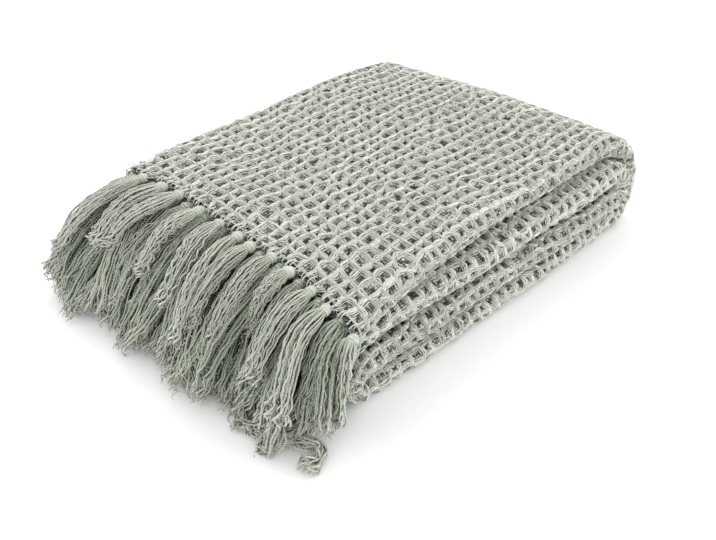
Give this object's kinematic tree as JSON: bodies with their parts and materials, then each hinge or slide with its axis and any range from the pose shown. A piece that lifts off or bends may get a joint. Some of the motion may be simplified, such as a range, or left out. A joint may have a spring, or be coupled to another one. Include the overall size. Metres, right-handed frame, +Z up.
{
  "type": "waffle weave cotton blanket",
  "caption": "Cotton throw in a waffle weave, folded into an even packet with its rounded folds at one end and a fringe of knotted tassels at the other.",
  "frame": {"origin": "middle of the bounding box at its underside, where the folded cloth rests", "axes": "+X from the fringed end to the rounded end, -Y towards the side with the wide folds, +Z up"},
  "size_m": [0.5698, 0.3756, 0.1175],
  "materials": {
    "blanket": "matte",
    "fringe_top": "matte",
    "fringe_lower": "matte"
  },
  "bodies": {
    "root": {"blanket": "blanket", "fringe_top": "fringe_top", "fringe_lower": "fringe_lower"}
  },
  "joints": []
}
